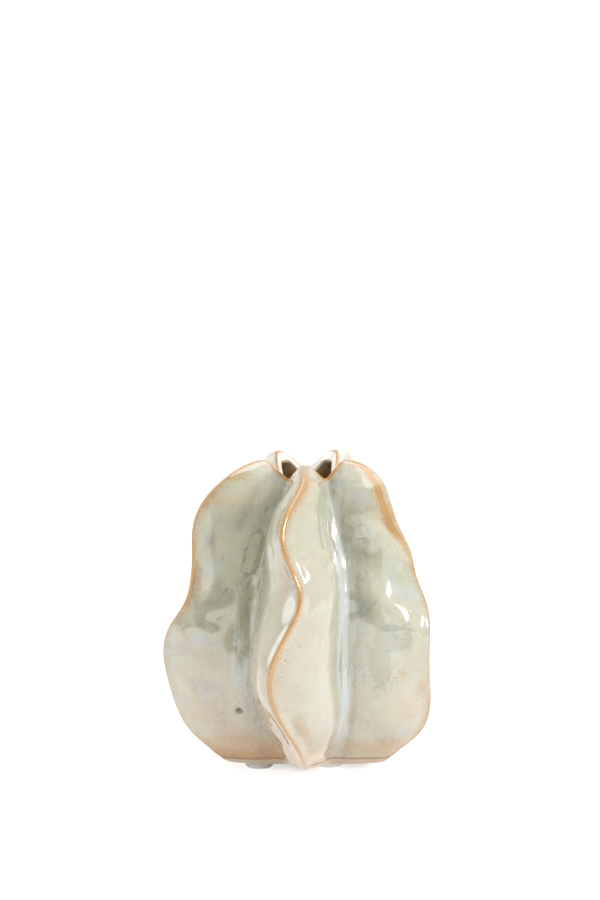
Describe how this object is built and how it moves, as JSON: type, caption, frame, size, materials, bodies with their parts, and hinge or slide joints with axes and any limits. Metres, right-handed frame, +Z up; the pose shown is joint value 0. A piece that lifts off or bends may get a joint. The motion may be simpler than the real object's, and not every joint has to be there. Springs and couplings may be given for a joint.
{
  "type": "lobed stoneware vase",
  "caption": "Hollow glazed stoneware vase with puffed pillow-like lobes, pinched wavy ridges and a small star-shaped mouth for flower stems, standing on stick-on pads.",
  "frame": {"origin": "on the table under the middle of the vase: x and y at the middle of its outline, z at the pads' undersides", "axes": "+Z up through the mouth, front lobe towards -Y, +X to the right seen from the front"},
  "size_m": [0.1148, 0.1092, 0.135],
  "materials": {
    "glazed_stoneware": "glossy cream and sage lustre glaze, thin and amber along the ridges",
    "pad_rubber": "satin, slightly translucent pale grey",
    "adhesive_film": "clear acrylic adhesive"
  },
  "bodies": {
    "root": {"vase_body": "glazed_stoneware", "pad_left": "pad_rubber", "pad_right": "pad_rubber", "pad_back_right": "pad_rubber", "pad_back_left": "pad_rubber", "adhesive_left": "adhesive_film", "adhesive_right": "adhesive_film", "adhesive_back_right": "adhesive_film", "adhesive_back_left": "adhesive_film"}
  },
  "joints": []
}
